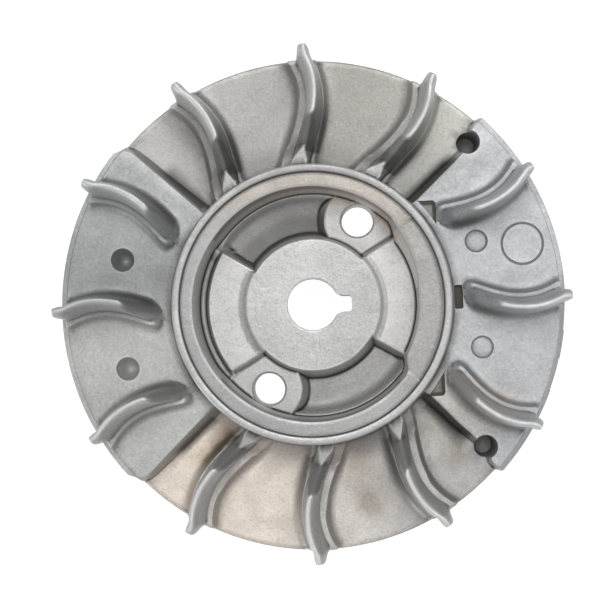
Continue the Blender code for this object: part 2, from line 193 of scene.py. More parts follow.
def cup_floor(r, th):
    """Hub disc, side pads, pawl pads, gutter and pockets inside the cup."""
    t = wrap(th)
    # pockets: dished, with a narrow lip under the wall
    x = np.clip((r - 18.5) / 2.75, 0, 0.955)
    z = POCKET_Z - 0.12 * np.cos(np.radians(th * 3)) + 2.75 * (1 - np.sqrt(1 - x * x))
    z = z + 0.32 * step(21.15, 21.4, r)
    line = np.interp(r, LINE_R, LINE_A)

    def land(z, level, drop, soft=0.4):
        """A flat at this height, cut off where drop, in mm, grows past 0."""
        top = smin(np.full_like(r, level), level - (drop - 0.1), 0.3)
        return smax(z, top, soft)

    def inside(a0, a1, slope):
        mid, half = (a0 + a1) / 2, (a1 - a0) / 2
        return np.radians(np.abs(wrap(th - mid)) - half) * r * slope

    gutter = np.maximum(inside(147.4, 219, 1.6), (19.5 - r) * 2.6)
    z = land(z, PAWL_Z - 0.05, gutter)
    # the gutter's upper end is closed by a low bump
    x0, y0 = 21.6 * math.cos(math.radians(148.3)), 21.6 * math.sin(math.radians(148.3))
    bx, by = r * np.cos(np.radians(th)) - x0, r * np.sin(np.radians(th)) - y0
    z = smax(z, PAWL_Z + 0.3 - 0.4 * (bx * bx + by * by), 1.0)
    for turn in (0.0, 180.0):
        near = hole_distance(r, th, turn)
        rel = wrap(th - turn)
        arc = np.where(rel > HOLE_A, near - 6.35, -1.0) * 1.9
        edge = np.radians(line - rel) * r * 1.8
        far = np.where(np.abs(wrap(rel - 62)) > 60, 9.0, -1.0)
        z = land(z, PAWL_Z, np.maximum(np.maximum(arc, edge), far))
    tt = th % 360
    left = np.maximum(
        np.maximum(np.radians(147.4 - tt) * r * 3.0, (r - 20.35) * 2.2),
        np.radians(tt - (line + 180 - 0.9)) * r * 1.25,
    )
    left = np.where((tt > 100) & (tt < 260), left, 9.0)
    z = land(z, SIDE_Z, left)
    right = np.maximum(
        np.radians(-31.2 - t) * r * 3.0, np.radians(t - line + 0.9) * r * 1.25
    )
    right = np.where(np.abs(t) < 80, right, 9.0)
    z = land(z, SIDE_Z, right)
    # the hub disc falls gently to the side pads and steeply to the pockets
    side = step(-31.8, -29, t) * (1 - step(38, 41.5, t)) + step(147.5, 150.5, tt) * (
        1 - step(218, 221.5, tt)
    )
    edge_r = 12.75 + 0.2 * side
    gentle = HUB_Z - np.maximum(r - edge_r, 0) * (0.9 - 0.35 * side)
    gentle = smin(np.full_like(r, HUB_Z), gentle + 0.02, 0.08)
    steep = HUB_Z - 0.25 - (r - 12.98 - 1.2 * side) * 3.0
    return smax(z, smin(gentle, steep, 0.35), 0.35)


# inner edge of the ledge and foot of the cup wall, thick beside the magnet
TOP_A = np.array([-170, -130, -60, -40.5, -37.5, -33.5, -31.0, 4.0, 16.0, 37.0, 41.5, 45.5, 100, 140, 165])
TOP_R = np.array([22.75, 22.35, 22.3, 22.35, 22.1, 20.9, 20.42, 20.32, 20.85, 21.6, 21.95, 22.35, 22.4, 22.5, 22.75])
FOOT_A = np.array([-150, -140, -40.0, -36.5, -33.0, -31.2, 34.0, 37.0, 42.0, 45.0, 140, 150])
FOOT_W = np.array([22.2, 21.85, 21.85, 21.4, 20.5, 20.2, 20.2, 20.5, 21.5, 21.85, 21.85, 22.2])


# ---- the casting's grid --------------------------------------------------------
W = np.array(
    [0, 0.28, 0.48, 0.62, 0.74, 0.85, 0.98, 1.15, 1.38, 1.62, 1.86, 2.1]
    + [2.35, 2.62, 2.95, 3.4, 4.0]
)
W = np.concatenate([-W[:0:-1], W])
GAP_COLUMNS = 13


def columns(r):
    """Angles of every column at radius r, with each one's blade and offset."""
    angles, blade, offset = [], [], []
    t = np.degrees(W * stretch(r) / r)
    edge = t[-1]
    for k in range(12):
        mid = 30 * k + sweep(r)
        angles += list(mid + t)
        blade += [k] * len(W)
        offset += list(W)
        a0, a1 = mid + edge, mid + 30 - edge
        lines = None
        if k in (1, 4, 7, 10):
            top = {
                1: float(magnet_edge(r, True)),
                4: 180 - float(weight_edge(r)),
                7: 180 + float(weight_edge(r)),
                10: 360 - float(magnet_edge(r, False)),
            }[k]
            lean = math.degrees(LEAN * (SECTOR_Z - low_floor(r)) / r)
            sign = 1 if k in (1, 7) else -1
            base = top + sign * lean
            lo, hi = min(top, base), max(top, base)
            pad = math.degrees(0.35 / r)
            inner = list(np.linspace(lo - pad, hi + pad, 9))
            before = (inner[0] - a0) / 3
            after = (a1 - inner[-1]) / 3
            lines = (
                [a0 + before, a0 + 2 * before]
                + inner
                + [inner[-1] + after, inner[-1] + 2 * after]
            )
        else:
            lines = list(np.linspace(a0, a1, GAP_COLUMNS + 2)[1:-1])
        angles += lines
        blade += [-1] * GAP_COLUMNS
        offset += [9.0] * GAP_COLUMNS
    return np.array(angles), np.array(blade), np.array(offset)


_, BLADE, OFFSET = columns(35.0)
N = len(BLADE)
EVEN = 360.0 * np.arange(N) / N
EVEN += (columns(FOOT_R)[0] - EVEN).mean()


def surface(r, th, tip=0.0):
    """Height of the fan side at radius r for the grid's columns."""
    rr = np.full(N, float(r))
    z = deck(rr, th)
    out = z.copy()
    for k in range(12):
        own = BLADE == k
        h = blade_height(rr[own], OFFSET[own], k in RAISED, tip)
        foot = foot_fillet(z[own], rr[own], OFFSET[own], k in RAISED)
        out[own] = smax(foot, h, 0.7)
    return out


def build_rows():
    rows = []  # each (radius, angle, height), arrays of N

    def ring(r, z, th=EVEN):
        rows.append((np.full(N, float(r)) if np.isscalar(r) else r, th,
                     np.full(N, float(z)) if np.isscalar(z) else z))

    ring(BORE_BACK + 0.3, 0.5)
    ring(BORE_BACK, 0.8)
    ring(5.3, 6.0)
    ring(BORE_FRONT + 0.03, HUB_Z - 0.8)
    ring(BORE_FRONT, HUB_Z - 0.3)
    ring(BORE_FRONT + 0.06, HUB_Z - 0.09)
    ring(BORE_FRONT + 0.2, HUB_Z)
    ring(BORE_FRONT + 0.45, HUB_Z)
    for r in (7.5, 9.8, 11.6):
        ring(r, HUB_Z)
    # cup floor, out to the foot of the wall
    a = wrap(EVEN)
    foot = np.interp(a, FOOT_A, FOOT_W)
    top = np.interp(a, TOP_A, TOP_R)
    for s in np.linspace(0, 1, 38):
        r = 12.2 + (foot - 0.42 - 12.2) * s
        ring(r, cup_floor(r, EVEN))
    base = cup_floor(foot - 0.42, EVEN)
    ring(foot - 0.2, base + 0.05)
    ring(foot - 0.05, base + 0.2)
    ring(foot + 0.02, base + 0.5)
    # the shelf beside the magnet sits a little under the ledge
    zt = 20.0 - 0.14 * step(-38.4, -37.6, a) * (1 - step(37.5, 38.3, a))
    rise = zt - 0.3 - base - 0.5
    for s in (0.12, 0.3, 0.5, 0.7, 0.88):
        ring(foot + 0.02 + (top - foot - 0.07) * s, base + 0.5 + rise * s)
    ring(top - 0.05, zt - 0.3)
    ring(top + 0.03, zt - 0.09)
    ring(top + 0.2, zt)
    # ledge and collar top
    for s in (0.2, 0.5, 0.8):
        ring(top + 0.2 + (24.95 - top - 0.2) * s, zt)
    ring(24.95, zt)
    ring(25.1, zt + 0.04)
    collar = columns(FOOT_R)[0]

    def turn(s):
        return EVEN + (collar - EVEN) * s

    ring(25.2, 20.16, turn(0.1))
    ring(25.28, 20.8, turn(0.15))
    ring(25.36, 20.95, turn(0.2))
    ring(25.5, 21.0, turn(0.3))
    ring(26.25, 21.0, turn(0.6))
    ring(26.46, 20.95, turn(0.7))
    ring(26.58, 20.8, turn(0.8))
    ring(26.65, 20.4, turn(0.9))
    rt = 28.3
    at = columns(rt)[0]
    z_rt = surface(rt, at)
    mid_th = (collar + at) / 2
    z0 = surface(27.6, collar)
    for s, th in ((0.12, collar), (0.4, collar), (0.7, collar)):
        z = 20.4 + (z0 + 0.9 - 20.4) * s
        ring(26.65 + (21 - z) * 0.055, z, th)
    ring(26.65 + (21 - z0) * 0.055, z0 + 0.85, collar)
    ring(26.78 + (21 - z0) * 0.055, z0 + 0.42, collar)
    ring(27.05 + (21 - z0) * 0.055, z0 + 0.13, mid_th)
    ring(rt, z_rt, at)
    # fan side, collar to rim
    for r in [*np.arange(28.7, 36.8, 0.38), *np.arange(37.0, 46.4, 0.72), 46.5]:
        at = columns(r)[0]
        ring(r, surface(r, at), at)
    # blade ends and rim edge
    at = columns(46.9)[0]
    h = surface(46.6, at, 48.4)
    d = lowness(np.full(N, 47.0), at)
    low = step(0.1, 1.0, d)
    fl = deck(np.full(N, 47.3), at)
    rim = RIM_R + (LOW_RIM_R - RIM_R) * step(0.0, 0.9, d)
    inside = np.radians(np.abs(wrap(at)) - (180 - WEIGHT_EDGE)) * 47.4
    u = np.clip(CORNER_R - inside, 0, CORNER_R)
    corner = RIM_R - CORNER_R + np.sqrt(CORNER_R**2 - np.minimum(u, 3.4) ** 2)
    corner = np.maximum(corner, LOW_RIM_R)
    rim = np.where(np.abs(wrap(at)) > 100, np.minimum(rim, corner), rim)
    # the face of the magnet sector is set back a little along its rim
    on_magnet = (np.abs(wrap(at)) < 60) * (1 - low)
    tall = np.clip(h - fl, 0, None)

    def end_r(z):
        return 48.5 - (TOP_Z - z) * 0.09

    soft = np.minimum(0.4, tall * 0.3)
    edge_r = end_r(h)
    ring(46.5 + (edge_r - 46.84) * 0.5, surface(46.6, at, 47.4), at)
    ring(edge_r - 0.34, h - 0.02 * (tall > 0.5), at)
    ring(edge_r - 0.12, h - soft * 0.25, at)
    ring(edge_r, h - soft, at)
    for s in (0.33, 0.66):
        z = h - soft + (fl + 0.3 - h + soft) * s
        z = np.maximum(z, fl)
        ring(end_r(z) + 0.01 * s, z, at)
    ring(end_r(fl) + 0.03, fl + np.minimum(0.3, tall * 0.1), at)
    # the magnet sector's rim is broken by a wider bevel on its lower half
    wide = on_magnet * step(6, -6, wrap(at))
    ch = 0.22 + 0.1 * on_magnet + 0.35 * wide
    out = ch + 0.55 * wide
    ring(np.maximum(end_r(fl) + 0.07 - 0.6 * wide * (tall < 0.5), rim - out - 0.12), fl - 0.002, at)
    ring(rim - out + 0.1, fl - 0.07 * ch, at)
    ring(rim - out * 0.35, fl - ch * 0.55, at)
    ring(rim, fl - ch - 0.1, at)
    for s in (0.25, 0.5, 0.75):
        ring(rim, (fl - ch - 0.1) * (1 - s) + 0.6 * s, at)
    ring(rim, 0.6, at)
    ring(rim - 0.18, 0.18, at)
    ring(rim - 0.6, 0.0, at)
    # back
    ring(44.5, 0.0, at)
    ring(36.0, 0.0, columns(36.0)[0])
    ring(27.3, 0.0, collar)
    ring(22.3, 0.0)
    ring(22.05, 0.12)
    ring(21.95, 0.4)
    ring(21.3, 3.0)
    ring(20.9, 3.4)
    ring(13.4, 3.4)
    ring(13.05, 3.1)
    ring(12.75, 0.9)
    ring(12.5, 0.55)
    ring(12.2, 0.5)
    ring(8.0, 0.5)
    return rows


def build_casting():
    rows = build_rows()
    m = len(rows)
    co = np.empty((m, N, 3))
    for i, (r, th, z) in enumerate(rows):
        a = np.radians(th)
        co[i, :, 0], co[i, :, 1], co[i, :, 2] = r * np.cos(a), r * np.sin(a), z
    i = np.arange(m)[:, None]
    j = np.arange(N)[None, :]
    i1, j1 = (i + 1) % m, (j + 1) % N
    quads = np.stack(
        [i * N + j, i * N + j1, i1 * N + j1, i1 * N + j], axis=-1
    ).reshape(-1, 4)
    mesh = bpy.data.meshes.new("casting")
    mesh.from_pydata((co.reshape(-1, 3) * MM).tolist(), [], quads[:, ::-1].tolist())
    mesh.update()
    obj = bpy.data.objects.new("casting", mesh)
    bpy.context.scene.collection.objects.link(obj)
    return obj


# ---- cutters ---------------------------------------------------------------------
def from_bm(name, bm):
    bmesh.ops.remove_doubles(bm, verts=bm.verts, dist=1e-7)
    bmesh.ops.recalc_face_normals(bm, faces=bm.faces)
    mesh = bpy.data.meshes.new(name)
    bm.to_mesh(mesh)
    bm.free()
    obj = bpy.data.objects.new(name, mesh)
    bpy.context.scene.collection.objects.link(obj)
    return obj


def lathe(name, x, y, profile, segments=64):
    """A closed solid turned about a vertical axis at (x, y) from (r, z) pairs, top to bottom."""
    bm = bmesh.new()
    rings = []
    for r, z in profile:
        if r <= 1e-6:
            rings.append([bm.verts.new((x * MM, y * MM, z * MM))])
        else:
            rings.append(
                [
                    bm.verts.new(
                        (
                            (x + r * math.cos(math.tau * s / segments)) * MM,
                            (y + r * math.sin(math.tau * s / segments)) * MM,
                            z * MM,
                        )
                    )
                    for s in range(segments)
                ]
            )
    for a, b in zip(rings, rings[1:]):
        for s in range(segments):
            t = (s + 1) % segments
            if len(a) == 1:
                bm.faces.new((a[0], b[s], b[t]))
            elif len(b) == 1:
                bm.faces.new((a[t], a[s], b[0]))
            else:
                bm.faces.new((a[t], a[s], b[s], b[t]))
    for end in (rings[0], rings[-1]):
        if len(end) > 1:
            bm.faces.new(end)
    return from_bm(name, bm)


def rounded(points, radius, n=5):
    """The outline with each corner rounded, in mm."""
    out = []
    count = len(points)
    for i in range(count):
        p0, p1, p2 = (
            Vector(points[i - 1]),
            Vector(points[i]),
            Vector(points[(i + 1) % count]),
        )
        a, b = (p0 - p1).normalized(), (p2 - p1).normalized()
        cos = max(-1.0, min(1.0, a.dot(b)))
        half = math.acos(cos) / 2
        if half > 1.5:
            out.append(tuple(p1))
            continue
        cut = min(
            radius / math.tan(half), (p0 - p1).length * 0.45, (p2 - p1).length * 0.45
        )
        rad = cut * math.tan(half)
        centre = p1 + (a + b).normalized() * (rad / math.sin(half))
        s, e = p1 + a * cut - centre, p1 + b * cut - centre
        a0 = math.atan2(s.y, s.x)
        turn = (math.atan2(e.y, e.x) - a0 + math.pi) % math.tau - math.pi
        for q in range(n + 1):
            t = a0 + turn * q / n
            out.append((centre.x + rad * math.cos(t), centre.y + rad * math.sin(t)))
    return out


def prism(name, outline, z0, z1, grow=0.0):
    """An outline pushed from z0 up to z1. grow widens the top, for draft, in mm."""
    bm = bmesh.new()
    n = len(outline)
    cx = sum(p[0] for p in outline) / n
    cy = sum(p[1] for p in outline) / n
    bottom = [bm.verts.new((x * MM, y * MM, z0 * MM)) for x, y in outline]
    top = []
    for x, y in outline:
        d = math.hypot(x - cx, y - cy) or 1
        top.append(
            bm.verts.new(
                ((x + (x - cx) / d * grow) * MM, (y + (y - cy) / d * grow) * MM, z1 * MM)
            )
        )
    for s in range(n):
        t = (s + 1) % n
        bm.faces.new((bottom[s], bottom[t], top[t], top[s]))
    bm.faces.new(bottom)
    bm.faces.new(top)
    return from_bm(name, bm)


def sector_cut(name, r0, r1, a0, a1, z0, z1_inner, z1_outer):
    """A recess between two radii and two angles, with rounded upright corners."""
    corners = []
    n = 14
    pts = [
        (r1 * math.cos(math.radians(a0 + (a1 - a0) * i / n)),
         r1 * math.sin(math.radians(a0 + (a1 - a0) * i / n))) for i in range(n + 1)
    ] + [
        (r0 * math.cos(math.radians(a1 + (a0 - a1) * i / n)),
         r0 * math.sin(math.radians(a1 + (a0 - a1) * i / n))) for i in range(n + 1)
    ]
    pts = rounded(pts, 2.2, 5)
    bm = bmesh.new()
    rings = []
    cr = (r0 + r1) / 2
    ca = math.radians((a0 + a1) / 2)
    cx, cy = cr * math.cos(ca), cr * math.sin(ca)
    for inset, drop in ((-0.25, -9.0), (-0.25, -0.01), (0.0, 0.3), (0.45, 0.93), (0.75, 0.985), (1.3, 1.0)):
        ring_ = []
        for x, y in pts:
            r = math.hypot(x, y)
            t = (r - r0) / (r1 - r0)
            roof = z1_inner + (z1_outer - z1_inner) * t
            z = drop if drop < 0 else roof * drop
            d = math.hypot(x - cx, y - cy)
            f = 1 - inset / d
            ring_.append(bm.verts.new(((cx + (x - cx) * f) * MM, (cy + (y - cy) * f) * MM, z * MM)))
        rings.append(ring_)
    m = len(pts)
    for a, b in zip(rings, rings[1:]):
        for s in range(m):
            t = (s + 1) % m
            bm.faces.new((a[s], a[t], b[t], b[s]))
    bm.faces.new(rings[0])
    bm.faces.new(rings[-1])
    bmesh.ops.triangulate(bm, faces=[f for f in bm.faces if len(f.verts) > 4])
    return from_bm(name, bm)


def polar(r, a):
    return r * math.cos(math.radians(a)), r * math.sin(math.radians(a))


def cutters():
    out = []
    for turn in (0, 180):
        x, y = polar(HOLE_PCR, HOLE_A + turn)
        out.append(
            lathe(
                f"cut_hole_{turn}", x, y,
                [(3.9, PAWL_Z + 0.6), (3.52, PAWL_Z + 0.02), (3.3, PAWL_Z - 0.16), (HOLE_R, PAWL_Z - 0.35),
                 (HOLE_R, 3.6), (HOLE_R + 0.25, 3.35), (HOLE_R + 0.3, -1)],
                72,
            )
        )
    # keyway, its mouth flared into the bore
    half = [(0.5, 2.25), (4.42, 2.25), (4.72, 2.0), (5.1, 1.79), (5.55, 1.65), (6.1, 1.6)]
    half += [(6.95 + 0.6 * math.sin(math.radians(q)), 1.0 + 0.6 * math.cos(math.radians(q))) for q in (0, 18, 36, 54, 72, 90)]
    key = half + [(x, -y) for x, y in reversed(half)]
    out.append(prism("cut_key", key, -1, HUB_Z + 2))
    for m, r, a in ((1, 43.25, 43.3), (-1, 43.0, -42.4)):
        x, y = polar(r, a)
        out.append(
            lathe(f"cut_socket_{m}", x, y,
                  [(2.75, 16.4), (2.32, 14.9), (2.18, 14.3), (2.12, 12.0), (2.02, 6.5), (1.7, 5.7), (0.9, 5.35), (0, 5.3)], 56)
        )
    for m in (1, -1):
        x, y = polar(37.7, 180 - 16.2 * m)
        out.append(
            lathe(f"cut_dimple_{m}", x, y,
                  [(2.6, 15.6), (2.3, 15.02), (2.12, 14.6), (1.95, 13.2), (1.7, 11.2), (1.3, 10.0), (0.7, 9.5), (0, 9.4)], 48)
        )
    for name, r, a in (("a", 33.7, 18.2), ("b", 33.6, -17.1)):
        x, y = polar(r, a)
        out.append(
            lathe(f"cut_mark_{name}", x, y,
                  [(2.5, 15.5), (2.27, 15.03), (2.18, 14.9), (2.08, 14.6), (1.95, 14.52), (1.6, 14.66), (0.8, 14.74), (0, 14.76)], 56)
        )
    x, y = polar(41.9, 13.2)
    out.append(ring_cut("cut_badge", x, y, 3.66, 4.2, 0.38))
    z0, z1 = 3.1, 14.4
    x0, x1, y1, y0, o, q = 21.3, 24.9, 18.7, 12.9, 51.2, 7.3
    out.append(
        prism(
            "cut_poles",
            [(x0, -y1 + 0.6), (x0 + 0.6, -y1), (o, -y1), (o, -y0), (x1 + 1.1, -y0), (x1, -y0 + 1.1),
             (x1, -q), (o, -q), (o, q), (x1, q), (x1, y0 - 1.1), (x1 + 1.1, y0), (o, y0), (o, y1),
             (x0 + 0.6, y1), (x0, y1 - 0.6)],
            z0, z1,
        )
    )
    out.append(prism("cut_window", rounded([(27.25, -2.3), (28.95, -2.3), (28.95, 2.3), (27.25, 2.3)], 0.35, 3), 12, 16.2))
    for m in (1, -1):
        # the steel's corner shows beside the collar
        for tag, r, x1, y1, c, z0, z1 in (("a", 28.4, 24.0, 18.15, 0.3, 10.9, 17.4), ("b", 28.33, 24.62, 18.8, 0.8, 14.7, 17.5)):
            lo, hi = math.acos(x1 / r), math.asin(y1 / r)
            pts = [(r * math.cos(lo + (hi - lo) * q / 8), m * r * math.sin(lo + (hi - lo) * q / 8)) for q in range(9)]
            pts += [(x1 - c + c * math.sin(q * math.pi / 12), m * (y1 - c + c * math.cos(q * math.pi / 12))) for q in range(7)]
            out.append(prism(f"cut_corner_{m}{tag}", pts, z0, z1))
    for label, mirror in (("a", 1), ("b", -1)):
        a0 = 45.1
        a1 = 133.0
        if mirror < 0:
            a0, a1 = 360 - a1, 360 - a0
        mid = (a0 + a1) / 2
        for part, b0, b1 in (("1", a0 + 3, mid - 2), ("2", mid + 2, a1 - 3)):
            out.append(sector_cut(f"cut_back_{label}{part}", 26.4, 43.8, b0, b1, 0, 6.0, 8.6))
    return out


def ring_cut(name, x, y, r0, r1, depth):
    """A shallow round groove in the raised deck."""
    bm = bmesh.new()
    n = 56
    profile = [(r0, SECTOR_Z + 0.3), (r0 + 0.02, SECTOR_Z), ((r0 + r1) / 2 - 0.05, SECTOR_Z - depth),
               ((r0 + r1) / 2 + 0.05, SECTOR_Z - depth), (r1 - 0.02, SECTOR_Z), (r1, SECTOR_Z + 0.3)]
    rings = [[bm.verts.new(((x + r * math.cos(math.tau * s / n)) * MM, (y + r * math.sin(math.tau * s / n)) * MM, z * MM))
              for s in range(n)] for r, z in profile]
    for i in range(len(rings)):
        a, b = rings[i], rings[(i + 1) % len(rings)]
        for s in range(n):
            t = (s + 1) % n
            bm.faces.new((a[s], a[t], b[t], b[s]))
    return from_bm(name, bm)


def carve(obj, tools):
    coll = bpy.data.collections.new("casting_cutters")
    bpy.context.scene.collection.children.link(coll)
    for tool in tools:
        for c in list(tool.users_collection):
            c.objects.unlink(tool)
        coll.objects.link(tool)
    mod = obj.modifiers.new("holes", "BOOLEAN")
    mod.operation = "DIFFERENCE"
    mod.solver = "EXACT"
    mod.operand_type = "COLLECTION"
    mod.collection = coll
    graph = bpy.context.evaluated_depsgraph_get()
    done = bpy.data.meshes.new_from_object(obj.evaluated_get(graph))
    obj.modifiers.clear()
    old = obj.data
    obj.data = done
    bpy.data.meshes.remove(old)
    for tool in tools:
        bpy.data.objects.remove(tool, do_unlink=True)
    bpy.data.collections.remove(coll)
    return obj


# ---- materials -------------------------------------------------------------------
class Nodes:
    """Short names for building a node tree."""

    def __init__(self, name):
        self.mat = bpy.data.materials.new(name)
        self.mat.use_nodes = True
        self.tree = self.mat.node_tree
        self.shader = self.tree.nodes["Principled BSDF"]
        self.place = self.add("ShaderNodeTexCoord").outputs["Object"]

    def add(self, kind, **values):
        node = self.tree.nodes.new(kind)
        for key, value in values.items():
            setattr(node, key, value)
        return node

    def link(self, a, b):
        self.tree.links.new(a, b)

    def noise(self, scale, detail=4, rough=0.55, vector=None, distort=0.0):
        n = self.add("ShaderNodeTexNoise")
        n.inputs["Scale"].default_value = scale
        n.inputs["Detail"].default_value = detail
        n.inputs["Roughness"].default_value = rough
        n.inputs["Distortion"].default_value = distort
        self.link(vector or self.place, n.inputs["Vector"])
        return n.outputs["Fac"]

    def ramp(self, fac, stops):
        r = self.add("ShaderNodeValToRGB")
        while len(r.color_ramp.elements) < len(stops):
            r.color_ramp.elements.new(0.5)
        for e, (pos, colour) in zip(r.color_ramp.elements, stops):
            e.position = pos
            e.color = (*colour, 1) if len(colour) == 3 else colour
        self.link(fac, r.inputs["Fac"])
        return r.outputs["Color"]

    def math(self, op, a, b=None, clamp=False):
        m = self.add("ShaderNodeMath", operation=op, use_clamp=clamp)
        for i, v in enumerate((a, b)):
            if v is None:
                continue
            if isinstance(v, (int, float)):
                m.inputs[i].default_value = v
            else:
                self.link(v, m.inputs[i])
        return m.outputs[0]

    def mix(self, fac, a, b, kind="MIX"):
        m = self.add("ShaderNodeMix", data_type="RGBA", blend_type=kind)
        for socket, v in ((m.inputs["Factor"], fac), (m.inputs[6], a), (m.inputs[7], b)):
            if isinstance(v, (int, float)):
                socket.default_value = v
            elif isinstance(v, tuple):
                socket.default_value = (*v, 1)
            else:
                self.link(v, socket)
        return m.outputs[2]

    def remap(self, v, a0, a1, b0, b1):
        m = self.add("ShaderNodeMapRange")
        m.clamp = True
        self.link(v, m.inputs["Value"])
        for i, x in zip((1, 2, 3, 4), (a0, a1, b0, b1)):
            m.inputs[i].default_value = x
        return m.outputs["Result"]

    def attribute(self, name):
        return self.add("ShaderNodeAttribute", attribute_name=name).outputs["Fac"]

    def bump(self, height, strength, distance, normal=None):
        b = self.add("ShaderNodeBump")
        b.inputs["Strength"].default_value = strength
        b.inputs["Distance"].default_value = distance
        self.link(height, b.inputs["Height"])
        if normal:
            self.link(normal, b.inputs["Normal"])
        return b.outputs["Normal"]


def cast_aluminium():
    n = Nodes("cast_aluminium")
    s = n.shader
    s.inputs["Metallic"].default_value = 0.62
    s.inputs["Specular IOR Level"].default_value = 0.4
    speck = n.noise(2300, 2, 0.6)
    grit = n.noise(1150, 3, 0.65)
    cloud = n.noise(55, 5, 0.6, distort=0.4)
    patch = n.noise(210, 4, 0.6)
    machined = n.attribute("machined")
    warm_light = n.attribute("warm_light")
    cool_sheen = n.attribute("cool_sheen")
    ridge_highlight = n.attribute("ridge_highlight")
    hollow_shade = n.attribute("hollow_shade")
    shade_tone = n.attribute("shade_tone")
    base = n.ramp(cloud, [(0.3, (0.485, 0.49, 0.49)), (0.55, (0.54, 0.54, 0.54)), (0.75, (0.575, 0.57, 0.56))])
    base = n.mix(n.remap(patch, 0.38, 0.66, 0.0, 0.24), base, (0.43, 0.425, 0.42))
    # a cooler, lighter painted reflection on the magnet sector's deck
    base = n.mix(cool_sheen, base, (0.56, 0.575, 0.60))
    # painted light with a warmer painted reflection on the low floors
    base = n.mix(warm_light, base, (0.78, 0.70, 0.615))
    # painted light: lighter on lit pads, lands and faces
    base = n.mix(n.attribute("painted_light"), base, (0.80, 0.795, 0.785))
    # dark grains and light-grey grains of the as-cast skin
    base = n.mix(n.remap(speck, 0.54, 0.70, 0.0, 0.24), base, (0.26, 0.25, 0.24))
    base = n.mix(n.remap(speck, 0.34, 0.46, 0.30, 0.0), base, (0.80, 0.80, 0.79))
    base = n.mix(n.remap(grit, 0.53, 0.70, 0.0, 0.2), base, (0.33, 0.32, 0.30))
    # multiplied in: real dirt patches together with painted shade and painted reflections
    tint = n.add("ShaderNodeAttribute", attribute_name="tint").outputs["Color"]
    base = n.mix(1.0, base, tint, "MULTIPLY")
    # painted shade: near-black mixed in along creases, pits, step feet and outlines
    base = n.mix(n.math("MULTIPLY", hollow_shade, 0.96), base, (0.032, 0.03, 0.026))
    # painted highlight: lighter along convex edges and blade crests
    base = n.mix(n.math("MULTIPLY", ridge_highlight, 0.6), base, (0.86, 0.86, 0.85))
    # painted shade: dark grey mixed in where faces and zones lie in shade
    base = n.mix(shade_tone, base, (0.12, 0.12, 0.12))
    n.link(base, s.inputs["Base Color"])
    rough = n.remap(patch, 0.3, 0.7, 0.46, 0.60)
    rough = n.math("SUBTRACT", rough, n.math("MULTIPLY", machined, 0.08))
    n.link(rough, s.inputs["Roughness"])
    soft = n.bump(patch, 0.3, 0.0004)
    coarse = n.bump(grit, 0.3, 0.00012, soft)
    fine = n.bump(speck, 0.3, 0.00006, coarse)
    n.link(fine, s.inputs["Normal"])
    return n.mat


def sheet_steel():
    n = Nodes("lamination_steel")
    s = n.shader
    s.inputs["Metallic"].default_value = 0.9
    cloud = n.noise(700, 4, 0.65)
    n.link(n.ramp(cloud, [(0.35, (0.12, 0.12, 0.108)), (0.55, (0.27, 0.265, 0.24)), (0.72, (0.17, 0.14, 0.105))]),
           s.inputs["Base Color"])
    n.link(n.remap(cloud, 0.3, 0.7, 0.35, 0.6), s.inputs["Roughness"])
    n.link(n.bump(n.noise(2500, 3), 0.2, 0.00004), s.inputs["Normal"])
    return n.mat


def ferrite():
    n = Nodes("ferrite")
    s = n.shader
    s.inputs["Metallic"].default_value = 0.0
    cloud = n.noise(400, 4, 0.6)
    n.link(n.ramp(cloud, [(0.35, (0.055, 0.045, 0.035)), (0.7, (0.10, 0.08, 0.06))]), s.inputs["Base Color"])
    n.link(n.remap(cloud, 0.3, 0.7, 0.5, 0.7), s.inputs["Roughness"])
    n.link(n.bump(n.noise(3000, 3), 0.3, 0.00005), s.inputs["Normal"])
    return n.mat


def rivet_steel():
    n = Nodes("rivet_steel")
    s = n.shader
    s.inputs["Metallic"].default_value = 1.0
    cloud = n.noise(500, 3, 0.5)
    n.link(n.ramp(cloud, [(0.3, (0.42, 0.42, 0.43)), (0.7, (0.58, 0.57, 0.55))]), s.inputs["Base Color"])
    n.link(n.remap(cloud, 0.3, 0.7, 0.25, 0.45), s.inputs["Roughness"])
    return n.mat


def curvature(mesh, co):
    """Mean curvature per point, 1/mm, positive on ridges, averaged once with its neighbours."""
    n = len(co)
    ends = np.empty(len(mesh.edges) * 2, np.int32)
    mesh.edges.foreach_get("vertices", ends)
    a, b = ends.reshape(-1, 2).T
    normal = np.empty(n * 3, np.float32)
    mesh.vertices.foreach_get("normal", normal)
    normal = normal.reshape(-1, 3)
    e = co[b] - co[a]
    length2 = np.maximum((e * e).sum(1), 0.02)
    weight = np.sqrt(length2)
    total = np.zeros(n)
    share = np.zeros(n)
    for i, sign in ((a, -1.0), (b, 1.0)):
        k = sign * 2 * (normal[i] * e).sum(1) / length2
        np.add.at(total, i, k * weight)
        np.add.at(share, i, weight)
    k = total / np.maximum(share, 1e-9)
    for _ in range(2):
        near = np.zeros(n)
        count = np.zeros(n)
        for i, j in ((a, b), (b, a)):
            np.add.at(near, i, k[j])
            np.add.at(count, i, 1)
        k = 0.5 * k + 0.5 * near / np.maximum(count, 1)
    return k


